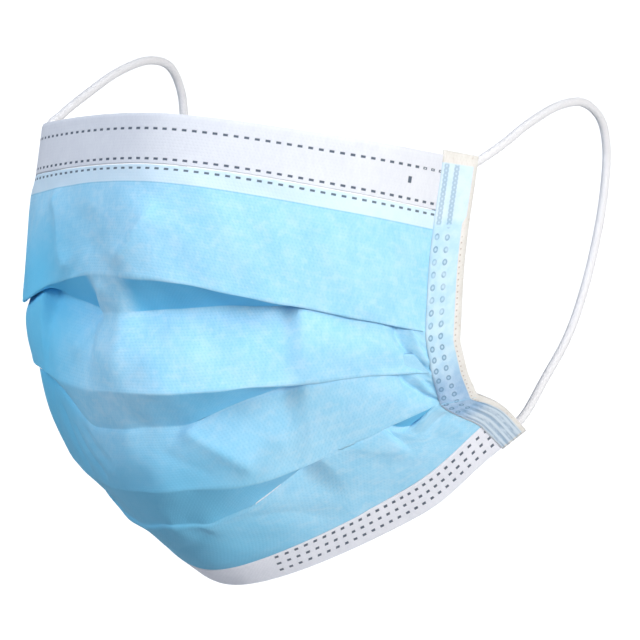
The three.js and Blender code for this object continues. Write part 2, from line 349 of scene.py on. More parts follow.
@dataclass(frozen=True)
class Crease:
    """A crease or roll of the cloth, along a line given in millimetres across and down it."""

    line: tuple[tuple[float, float], ...]
    rise: float
    width: float
    fade: float = 6.0
    round_off: float = 0.7

    def height(self, across: Grid, down: Grid) -> Grid:
        """How far the crease lifts each point of the cloth.

        Args:
            across: Distance of each point from the middle line, in millimetres.
            down: Distance of each point from the top edge, in millimetres.

        Returns:
            The lift in millimetres.
        """
        line = np.array(self.line)
        best = np.full(across.shape, np.inf)
        place = np.zeros(across.shape)
        run = 0.0
        for a, b in zip(line[:-1], line[1:]):
            d = b - a
            length = float(np.hypot(*d))
            t = np.clip(((across - a[0]) * d[0] + (down - a[1]) * d[1]) / length**2, 0, 1)
            far = np.hypot(across - a[0] - t * d[0], down - a[1] - t * d[1])
            closer = far < best
            best = np.where(closer, far, best)
            place = np.where(closer, run + t * length, place)
            run += length
        ends = smoothstep(place, -0.01, self.fade) * (1 - smoothstep(place, run - self.fade, run + 0.01))
        # a tent with a slightly rounded ridge, as a paper-like cloth folds
        slope = np.sqrt(best**2 + self.round_off**2) - self.round_off
        return self.rise * np.exp(-slope / self.width) * ends


@dataclass(frozen=True)
class Ripple:
    """A long soft wave in the cloth: its rise, lengths across and down, and phase."""

    rise: float
    across: float
    down: float
    phase: float

    def height(self, across: Grid, down: Grid) -> Grid:
        """How far the wave lifts each point of the cloth."""
        return self.rise * np.sin(2 * math.pi * (across / self.across + down / self.down) + self.phase)


# --------------------------------------------------------------------------- meshes


def mesh_object(name: str, points: Grid, faces: Sequence[tuple[int, ...]], uv: Grid) -> bpy.types.Object:
    """Makes a mesh object at the origin.

    Args:
        name: Name of the object and its mesh.
        points: Points in millimetres, of shape (n, 3).
        faces: Faces by point number, facing outwards.
        uv: Place of each face corner on the flat cloth in millimetres, of shape (corners, 2).

    Returns:
        The new object, linked to the scene.
    """
    mesh = bpy.data.meshes.new(name)
    mesh.from_pydata((points * MM).tolist(), [], faces)
    layer = mesh.uv_layers.new(name="cloth_mm")
    layer.data.foreach_set("uv", uv.astype(np.float32).ravel())
    mesh.update()
    mesh.shade_smooth()
    made = bpy.data.objects.new(name, mesh)
    bpy.context.scene.collection.objects.link(made)
    return made


def quad_faces(rows: int, columns: int, start: int, flip: bool) -> list[tuple[int, int, int, int]]:
    """Faces of a grid of points.

    Args:
        rows: Number of rows.
        columns: Number of columns.
        start: Number of the first point.
        flip: Whether the faces turn the other way.

    Returns:
        The faces by point number.
    """
    faces = []
    for r in range(rows - 1):
        for c in range(columns - 1):
            a = start + r * columns + c
            quad = (a, a + columns, a + columns + 1, a + 1)
            faces.append(quad[::-1] if flip else quad)
    return faces


def cloth_shell(name: str, outer: Grid, inner: Grid, uv: Grid, inside: Grid) -> bpy.types.Object:
    """A closed sheet between an outer and an inner grid; outer faces and rims use material 0.

    Args:
        name: Name of the piece.
        outer: Outer points of shape (rows, columns, 3).
        inner: Inner points of the same shape.
        uv: Place of each point on the flat cloth, of shape (rows, columns, 2).
        inside: Which material the inner faces use, of shape (rows, columns).

    Returns:
        The object.
    """
    rows, columns = outer.shape[:2]
    half = rows * columns
    faces: list[tuple[int, ...]] = list(quad_faces(rows, columns, 0, False))
    outside = len(faces)
    faces += quad_faces(rows, columns, half, True)
    for c in range(columns - 1):
        low = (rows - 1) * columns + c
        faces.append((c, c + 1, half + c + 1, half + c))
        faces.append((low + 1, low, half + low, half + low + 1))
    for r in range(rows - 1):
        a, b = r * columns, r * columns + columns - 1
        faces.append((a + columns, a, half + a, half + a + columns))
        faces.append((b, b + columns, half + b + columns, half + b))
    points = np.concatenate([outer.reshape(-1, 3), inner.reshape(-1, 3)])
    flat = np.concatenate([uv.reshape(-1, 2)] * 2)
    made = mesh_object(name, points, faces, flat[np.array(faces).ravel()])
    index = np.zeros(len(faces), np.int32)
    index[outside : 2 * outside] = inside[:-1, :-1].ravel()
    made.data.polygons.foreach_set("material_index", index)
    return made


def ring_body(name: str, rings: Grid, uv: Grid) -> bpy.types.Object:
    """A closed body through rings of points, with a flat face at each end.

    Args:
        name: Name of the piece.
        rings: Points of shape (rings, points, 3).
        uv: Place of each point on the flat piece, of shape (rings, points + 1, 2).

    Returns:
        The object.
    """
    count, around = rings.shape[:2]
    faces: list[tuple[int, ...]] = []
    corners: list[Grid] = []
    for r in range(count - 1):
        for k in range(around):
            a, b = r * around + k, r * around + (k + 1) % around
            faces.append((a, b, b + around, a + around))
            corners.append(np.stack([uv[r, k], uv[r, k + 1], uv[r + 1, k + 1], uv[r + 1, k]]))
    faces.append(tuple(reversed(range(around))))
    corners.append(np.stack([uv[0, k] for k in reversed(range(around))]))
    last = (count - 1) * around
    faces.append(tuple(range(last, last + around)))
    corners.append(np.stack([uv[-1, k] for k in range(around)]))
    made = mesh_object(name, rings.reshape(-1, 3), faces, np.concatenate(corners))
    if signed_volume(made.data) < 0:
        made.data.flip_normals()
    return made


def signed_volume(mesh: bpy.types.Mesh) -> float:
    """Volume of a closed mesh, negative where its faces point inwards.

    Args:
        mesh: The mesh.

    Returns:
        The volume in cubic metres.
    """
    mesh.calc_loop_triangles()
    points = np.zeros(len(mesh.vertices) * 3)
    mesh.vertices.foreach_get("co", points)
    tris = np.zeros(len(mesh.loop_triangles) * 3, np.int32)
    mesh.loop_triangles.foreach_get("vertices", tris)
    a, b, c = points.reshape(-1, 3)[tris.reshape(-1, 3)].transpose(1, 0, 2)
    return float((a * np.cross(b, c)).sum() / 6)


# --------------------------------------------------------------------------- finishes


def srgb(colour: str) -> tuple[float, float, float, float]:
    """A hex colour as linear light.

    Args:
        colour: The colour, such as "#AADDF8".

    Returns:
        Red, green, blue and an opaque alpha.
    """
    parts = [int(colour.lstrip("#")[i : i + 2], 16) / 255 for i in (0, 2, 4)]
    red, green, blue = (c / 12.92 if c <= 0.04045 else ((c + 0.055) / 1.055) ** 2.4 for c in parts)
    return red, green, blue, 1.0


def add_node(
    tree: bpy.types.NodeTree,
    kind: str,
    inputs: dict[str | int, object] | None = None,
    **settings: object,
) -> bpy.types.Node:
    """Adds a node to a tree.

    Args:
        tree: The node tree.
        kind: Blender's name for the node type.
        inputs: For each named or numbered input, the socket that feeds it or its value.
        **settings: Properties of the node itself.

    Returns:
        The node.
    """
    node = tree.nodes.new(kind)
    for key, value in settings.items():
        setattr(node, key, value)
    for key, value in (inputs or {}).items():
        if isinstance(value, Tone):
            tree.links.new(value.socket, node.inputs[key])
        else:
            node.inputs[key].default_value = value
    return node


class Tone:
    """What a material works out at each point of the cloth, a number or a colour."""

    def __init__(self, socket: bpy.types.NodeSocket) -> None:
        """Holds the socket that gives it."""
        self.socket = socket

    def step(self, operation: str, other: "Tone | float" = 0.0, first: bool = True) -> "Tone":
        """One arithmetic step with another number.

        Args:
            operation: Blender's name for the step.
            other: The other number.
            first: Whether this one comes before the other.

        Returns:
            The result.
        """
        pair = {0: self, 1: other} if first else {0: other, 1: self}
        return Tone(add_node(self.socket.id_data, "ShaderNodeMath", pair, operation=operation).outputs[0])

    def __add__(self, other: "Tone | float") -> "Tone":
        """Sum."""
        return self.step("ADD", other)

    def __radd__(self, other: float) -> "Tone":
        """Sum, with a plain number first."""
        return self.step("ADD", other, False)

    def __sub__(self, other: "Tone | float") -> "Tone":
        """Difference."""
        return self.step("SUBTRACT", other)

    def __rsub__(self, other: float) -> "Tone":
        """Difference from a plain number."""
        return self.step("SUBTRACT", other, False)

    def __mul__(self, other: "Tone | float") -> "Tone":
        """Product."""
        return self.step("MULTIPLY", other)

    def __truediv__(self, other: "Tone | float") -> "Tone":
        """Quotient."""
        return self.step("DIVIDE", other)

    def __or__(self, other: "Tone") -> "Tone":
        """The greater of the two, as where two patterns lie over each other."""
        return self.step("MAXIMUM", other)


class Pattern:
    """A material and the patterns on it, laid out in millimetres on the flat cloth."""

    def __init__(self, name: str) -> None:
        """Makes an empty material with its shader and its cloth coordinates."""
        self.material = bpy.data.materials.new(name)
        self.material.use_nodes = True
        self.tree = self.material.node_tree
        self.tree.nodes.clear()
        self.shader = add_node(self.tree, "ShaderNodeBsdfPrincipled")
        add_node(self.tree, "ShaderNodeOutputMaterial", {0: Tone(self.shader.outputs[0])})
        self.uv = Tone(add_node(self.tree, "ShaderNodeUVMap", uv_map="cloth_mm").outputs[0])
        split = add_node(self.tree, "ShaderNodeSeparateXYZ", {0: self.uv})
        self.across, self.down = Tone(split.outputs[0]), Tone(split.outputs[1])

    def ramp(self, value: Tone, low: float, high: float) -> Tone:
        """A smooth rise between two values.

        Args:
            value: What is measured.
            low: Where the rise starts.
            high: Where it ends.

        Returns:
            0 below low and 1 above high.
        """
        inputs = {"Value": value, "From Min": low, "From Max": high}
        node = add_node(self.tree, "ShaderNodeMapRange", inputs, interpolation_type="SMOOTHSTEP")
        return Tone(node.outputs["Result"])

    def band(self, value: Tone, low: float, high: float, soft: float = 0.1) -> Tone:
        """1 where a value lies between low and high, with soft edges."""
        return self.ramp(value, low - soft, low + soft) - self.ramp(value, high - soft, high + soft)

    def blend(self, share: Tone, first: object, second: object) -> Tone:
        """A colour between two, by a share."""
        inputs = {0: share, 6: first, 7: second}
        return Tone(add_node(self.tree, "ShaderNodeMix", inputs, data_type="RGBA").outputs[2])

    def paint(self, under: Tone, colour: str, share: Tone) -> Tone:
        """A hex colour laid over another, by a share."""
        return self.blend(share, under, srgb(colour))

    def noise(self, size: float, detail: float = 3.0, stretch: tuple[float, float] = (1.0, 1.0)) -> Tone:
        """Soft noise.

        Args:
            size: Size of its patches in millimetres.
            detail: How many finer layers it has.
            stretch: Share of its fineness across and down.

        Returns:
            Values about 0.5.
        """
        scale = {0: self.uv, "Scale": (stretch[0] / size, stretch[1] / size, 1.0 / size)}
        place = Tone(add_node(self.tree, "ShaderNodeMapping", scale).outputs[0])
        inputs = {"Vector": place, "Scale": 1.0, "Detail": detail, "Roughness": 0.55}
        return Tone(add_node(self.tree, "ShaderNodeTexNoise", inputs).outputs["Fac"])

    def distance(self, x: Tone, y: Tone) -> Tone:
        """How far a place is from the middle of its cell."""
        return (x * x + y * y).step("SQRT")

    def cell(self, along: Tone, pitch: float, shift: float) -> Tone:
        """Place within one repeat of a row, in millimetres from its middle."""
        return ((along / pitch + (shift + FAR_CELL)).step("FRACT") - 0.5) * pitch

    def bonds(self, pitch: float, size: float) -> Tone:
        """The rows of small heat-bonded points of spunbond cloth, staggered from row to row.

        Args:
            pitch: From point to point in millimetres.
            size: Radius of a point as a share of the pitch.

        Returns:
            1 on the points and 0 between them.
        """
        row = self.down / (pitch * 0.87)
        odd = row.step("FLOOR").step("MODULO", 2.0) * 0.5
        x = (self.across / pitch + odd).step("FRACT") - 0.5
        y = row.step("FRACT") - 0.5
        return 1.0 - self.ramp(self.distance(x, y), size * 0.6, size * 1.4)

    def dashes(self, row: float, weld: "Weld", shift: float, hollow_from: float = 500.0) -> Tone:
        """A row of weld dashes across the cloth.

        Args:
            row: Its distance from the top edge.
            weld: The dashes' sizes.
            shift: Share of the pitch by which the row is shifted.
            hollow_from: Distance from the middle past which a dash is only its outline.

        Returns:
            1 on the dashes and 0 elsewhere.
        """
        x = self.cell(self.across, weld.pitch, shift).step("ABSOLUTE")
        y = (self.down - row).step("ABSOLUTE")
        half_long, half_wide = weld.long / 2, weld.wide / 2
        inside_x = 1.0 - self.ramp(x, half_long - 0.12, half_long + 0.12)
        inside_y = 1.0 - self.ramp(y, half_wide - 0.12, half_wide + 0.12)
        core_x = 1.0 - self.ramp(x, half_long - 0.45, half_long - 0.25)
        core_y = 1.0 - self.ramp(y, half_wide - 0.25, half_wide - 0.1)
        end = self.ramp(self.across.step("ABSOLUTE"), hollow_from, hollow_from + 0.2)
        return inside_x * inside_y - (core_x * core_y) * (end * 0.85)

    def rings(self, column: float, ring: "RingWeld", shift: float = 0.0) -> Tone:
        """A column of ring welds down the tape.

        Args:
            column: Its distance from the tape's outer edge.
            ring: The rings' sizes.
            shift: Share of the pitch by which the column is shifted.

        Returns:
            1 on the rings, a little less inside them and 0 elsewhere.
        """
        far = self.distance(self.across - column, self.cell(self.down, ring.pitch, shift))
        off = (far - ring.radius).step("ABSOLUTE")
        disc = 1.0 - self.ramp(far, ring.radius, ring.radius + ring.line)
        return (1.0 - self.ramp(off, ring.line * 0.5, ring.line * 1.1)) | (disc * 0.35)

    def finish(self, colour: Tone, roughness: float, height: Tone, depth: float) -> bpy.types.Material:
        """Feeds the shader.

        Args:
            colour: The colour.
            roughness: The roughness.
            height: Relief from 0 to 1.
            depth: What a relief of 1 stands for, in millimetres.

        Returns:
            The material.
        """
        self.tree.links.new(colour.socket, self.shader.inputs["Base Color"])
        self.shader.inputs["Roughness"].default_value = roughness
        inputs = {"Height": height, "Strength": 1.0, "Distance": depth * MM}
        bump = add_node(self.tree, "ShaderNodeBump", inputs)
        self.tree.links.new(bump.outputs[0], self.shader.inputs["Normal"])
        return self.material

    def welded(
        self, colour: Tone, height: Tone, weld: Tone, share: float = 0.9, roughness: float = 0.85
    ) -> bpy.types.Material:
        """Lays dark, pressed-in welds on the cloth and feeds the shader.

        Args:
            colour: The cloth's colour.
            height: Its relief.
            weld: 1 on the welds and 0 elsewhere.
            share: How dark the welds are.
            roughness: The roughness.

        Returns:
            The material.
        """
        colour = self.paint(colour, WELD_DARK, weld * share)
        return self.finish(colour, roughness, height - weld * 2.0, 0.05)


@dataclass(frozen=True)
class Weld:
    """Sizes of a row of weld dashes, as ultrasonic rollers press them."""

    pitch: float = 2.7
    long: float = 1.25
    wide: float = 0.62


@dataclass(frozen=True)
class RingWeld:
    """Sizes of a column of ring welds."""

    pitch: float = 3.08
    radius: float = 0.6
    line: float = 0.3


@dataclass(frozen=True)
class Spunbond:
    """Polypropylene spunbond: matt felted fibres with a grid of small bonded points.

    The points stand at their real spacing. The fibres, of about 0.02 mm, are drawn as coarser
    felt, since they are too fine to show.
    """

    name: str
    light: str
    deep: str
    bond_pitch: float = 0.95
    sheen: float = 0.05

    def start(self) -> tuple[Pattern, Tone, Tone]:
        """The pattern with its plain colour and its relief."""
        p = Pattern(self.name)
        cloud = p.noise(9.0, 4.0)
        fibre = p.noise(0.9, 4.0, (1.0, 0.35))
        bond = p.bonds(self.bond_pitch, 0.26)
        tone = cloud * 0.7 + fibre * 0.55 + bond * 0.07
        colour = p.blend(p.ramp(tone, 0.35, 0.95), srgb(self.light), srgb(self.deep))
        # polypropylene's index, with a faint sheen from the loose fibres
        sheen = {"Sheen Weight": self.sheen, "Sheen Roughness": 0.5}
        for name, value in {**sheen, "Specular IOR Level": 0.3, "IOR": 1.49}.items():
            p.shader.inputs[name].default_value = value
        return p, colour, fibre * 0.8 + bond * -0.4


WELD_DARK = "#33455A"
FAR_CELL = 500.0  # keeps the cells of a repeat above zero
STEEP_RAMP = 0.12


@dataclass(frozen=True)
class Finishes:
    """Every finish of the mask, with the places of its patterns on the flat cloth."""

    hem_height: float = 13.5
    wire_welds: tuple[float, float] = (4.1, 12.1)
    stop_weld: tuple[float, float, float, float] = (66.2, 67.3, 6.7, 8.3)
    stripe_end: float = 18.3
    lower_hem: float = 144.0
    lower_welds: tuple[float, float, float] = (1.6, 5.3, 8.9)
    lower_welds_from: float = 13.0
    ring_columns: tuple[float, float] = (6.1, 9.6)
    prick_column: float = 1.3

    def blue_panel(self) -> bpy.types.Material:
        """Blue outer ply, paler where the white band lies under it, with its row of welds, with painted
        shade in the pleats, on the right flank and on the chin, and a painted shadow line below the band's
        edge.
        """
        p, colour, height = Spunbond("blue_spunbond_ply", "#AADDF8", "#90D0F1").start()
        # loose fibres on the face show as pale flecks, and thin places as faint lavender clouds
        colour = p.paint(colour, "#CFE8F9", p.ramp(p.noise(3.2, 3.0, (1.0, 1.4)), 0.42, 0.74) * 0.3)
        colour = p.paint(colour, "#B5D2F2", p.ramp(p.noise(8.0, 3.0), 0.5, 0.75) * 0.12)
        # painted shade in the pleats' hidden strips, on the right flank and on the chin
        colour = self.painted_shade(p, colour)
        stripe = 1.0 - p.ramp(p.down, self.stripe_end - 0.15, self.stripe_end + 0.15)
        colour = p.paint(colour, "#DDE9F4", stripe * 0.72)
        # painted shadow: a thin darker line along the step where the white band's edge lies under the blue
        # ply
        edge = p.band(p.down, self.stripe_end, self.stripe_end + 0.35, 0.12)
        colour = p.paint(colour, "#6FAECB", edge * 0.3)
        return p.welded(colour, height, p.dashes(self.hem_height + 1.15, Weld(), 0.35), 0.85, 0.82)

    def painted_shade(self, p: Pattern, colour: Tone) -> Tone:
        """Paints shade into the blue: a deeper blue in the pleats' hidden strips under the fold edges, on
        the wearer's right flank and on the chin, where shade falls.

        Args:
            p: The panel's pattern.
            colour: Its colour so far.

        Returns:
            The colour with the painted shade.
        """
        right = 0.0 - p.across
        open_part = 1.0 - p.ramp(p.across, 48.0, 56.0)
        # top and lower end of each hidden strip under a fold's edge, where along it shade is painted, and
        # how dark
        shaded_strips = [
            (44.8, 55.4, (p.ramp(p.across, -9.0, -4.0) | p.ramp(right, 19.5, 22.5)) * open_part, 0.85),
            (77.3, 87.9, p.ramp(p.across, -10.0, 16.0) * open_part, 0.65),
            (109.3, 119.9, p.ramp(p.across, -16.0, 16.0), 0.55),
            # painted shadow where the third fold's edge overhangs beside the left tape
            (109.3, 119.9, p.band(p.across, 64.0, 80.0, 1.5), 0.8),
        ]
        for top, low, where, share in shaded_strips:
            colour = p.paint(colour, "#5CC0F0", (p.band(p.down, top, low, 0.25) * where) * share)
        # painted shade on the wearer's right flank, turned from the key light, and on the chin, which
        # faces down
        flank = p.ramp(right, 12.0, 46.0) * p.ramp(p.down, 16.0, 40.0)
        chin_shade = p.ramp(p.down, 80.0, 110.0) * (1.0 - p.ramp(p.across, 6.0, 40.0))
        colour = p.paint(colour, "#62CBF6", flank * 0.85)
        colour = p.paint(colour, "#69B9DE", chin_shade * 0.85)
        low_chin_shade = chin_shade * p.ramp(p.down, 108.0, 126.0)
        return p.paint(colour, "#559FC8", low_chin_shade * 0.02)

    def white_inner(self) -> bpy.types.Material:
        """White inner ply, seen from behind."""
        p, colour, height = Spunbond("white_spunbond_lining", "#F2F4FA", "#E4E8F0").start()
        return p.finish(colour, 0.85, height, 0.05)

    def pressed_plies(self) -> bpy.types.Material:
        """White inner ply pressed on the blue one in a pleat, which tints it a pale blue."""
        p, colour, height = Spunbond("pressed_white_spunbond", "#A9D9F3", "#97CEEC").start()
        return p.finish(colour, 0.75, height, 0.03)

    def top_band(self) -> bpy.types.Material:
        """White band with two weld rows and the stop weld of the nose wire."""
        p, colour, height = Spunbond("white_spunbond_top_band", "#DFE2EA", "#D6D9E3").start()
        upper, lower = self.wire_welds
        rows = p.dashes(upper, Weld(), 0.1, 70.0) | p.dashes(lower, Weld(), 0.6)
        start, end, top, low = self.stop_weld
        stop = p.band(p.across, start, end) * p.band(p.down, top, low)
        return p.welded(colour, height, rows | stop)

    def lower_band(self) -> bpy.types.Material:
        """White lower band with three weld rows on the wearer's left."""
        p, colour, height = Spunbond("white_spunbond_lower_band", "#EEEFF8", "#E2E4EE").start()
        square = Weld(2.62, 1.05, 1.1)
        rows = [p.dashes(self.lower_hem + v, square, 0.2) for v in self.lower_welds]
        shown = p.ramp(p.across, self.lower_welds_from, self.lower_welds_from + 0.2)
        return p.welded(colour, height, (rows[0] | rows[1] | rows[2]) * shown)

    def binding(self) -> bpy.types.Material:
        """Thin beige tape, through which the blue cloth shows where its ring welds press it on."""
        p, colour, height = Spunbond("beige_spunbond_tape", "#E6E4E1", "#D6D3CE").start()
        colour = p.paint(colour, "#B59E92", p.ramp(p.noise(0.9, 1.0, (1.0, 0.45)), 0.68, 0.74) * 0.35)
        upper = 1.0 - p.ramp(p.down, 14.5, 17.0)
        cloth_edge = 1.9 - upper - p.ramp(p.down, 66.0, 76.0) * 0.9
        inner = p.ramp(p.across - cloth_edge, -STEEP_RAMP, STEEP_RAMP)
        below_tab = p.ramp(p.down, 1.5, 1.9) * (1.0 - p.ramp(p.down, 97.7, 98.0))
        patchy = p.ramp(p.noise(4.0, 3.0), 0.35, 0.65)
        pale = p.blend(patchy, srgb("#C6E4F6"), srgb("#B2DAF3"))
        deep = p.blend(patchy, srgb("#A9C9E8"), srgb("#8FB6DC"))
        under = p.blend(p.ramp(p.down, 48.0, 62.0), pale, deep)
        under = p.paint(under, "#CDDDEC", p.ramp(p.down, 73.0, 80.0))
        under = p.paint(under, "#E4EEF8", upper * 0.45)
        colour = p.blend((inner * below_tab) * 0.93, colour, under)
        pricks = p.rings(self.prick_column, RingWeld(1.6, 0.12, 0.14)) * p.band(p.down, 20.0, 72.0, 1.0)
        colour = p.paint(colour, "#A8948B", pricks * 0.6)
        welds = self.tape_rings(p) | (self.tape_streaks(p) * 0.9)
        colour = p.paint(colour, "#5683A8", welds * 0.62)
        rim = p.ramp(p.across, 10.75, 10.95) * p.ramp(p.down, 60.0, 76.0)
        colour = p.paint(colour, "#EDF4FA", rim * 0.8)
        return p.finish(colour, 0.85, height - welds * 2.0, 0.05)

    def tape_rings(self, p: Pattern) -> Tone:
        """Two columns of ring welds, close together beside the band and apart below it.

        Args:
            p: The tape's pattern.

        Returns:
            1 on the rings and 0 elsewhere.
        """
        near, far = self.ring_columns
        apart = p.rings(near, RingWeld()) | p.rings(far, RingWeld(), 0.1)
        tight = RingWeld(1.15, 0.55, 0.4)
        dense = p.rings(near, tight) | p.rings(far, tight, 0.4)
        worn = 0.45 + p.ramp(p.noise(3.0, 2.0), 0.35, 0.65) * 0.55
        worn = worn | p.ramp(p.down, 36.0, 44.0)
        apart = (apart * p.band(p.down, 17.5, 74.0, 0.4)) * worn
        return apart | ((dense * p.band(p.down, 1.9, 16.8, 0.3)) * 0.7)

    def tape_streaks(self, p: Pattern) -> Tone:
        """Streaks down the gathered low end, where the folded cloth shows through the tape.

        Args:
            p: The tape's pattern.

        Returns:
            1 on the streaks and 0 elsewhere.
        """
        streak = (p.across * (math.pi / 2.3)).step("SINE").step("ABSOLUTE")
        streak = p.ramp(streak, 0.3, 0.95) * p.ramp(p.noise(2.2, 3.0, (1.0, 0.4)), 0.25, 0.6)
        return streak * (p.ramp(p.down, 68.0, 76.0) * p.band(p.across, 1.4, 10.4, 0.2))

    def elastic(self) -> bpy.types.Material:
        """Knitted round elastic: fine ribs that cross along a soft white cord."""
        p = Pattern("knitted_white_elastic")
        round_it, along = p.across * 2.2, p.down * 1.3
        rib = ((round_it + along) * (2 * math.pi)).step("SINE")
        counter = ((round_it - along) * (2 * math.pi)).step("SINE")
        rib = (rib + counter) * 0.25
        fuzz = p.noise(0.5, 3.0)
        tone = fuzz * 0.6 + rib * -0.3
        colour = p.blend(p.ramp(tone, 0.1, 0.7), srgb("#EBEBEE"), srgb("#CDCDD4"))
        p.shader.inputs["Sheen Weight"].default_value = 0.2
        p.shader.inputs["Specular IOR Level"].default_value = 0.3
        return p.finish(colour, 0.8, rib + fuzz, 0.08)


# --------------------------------------------------------------------------- cloth pieces


@dataclass
class ClothGrid:
    """A grid of cloth: its points and their places on the flat cloth, both in millimetres."""

    points: Grid
    uv: Grid

    def lifted(self, height: Grid) -> "ClothGrid":
        """The grid moved out along its normals."""
        return ClothGrid(self.points + grid_normals(self.points) * height[..., None], self.uv)


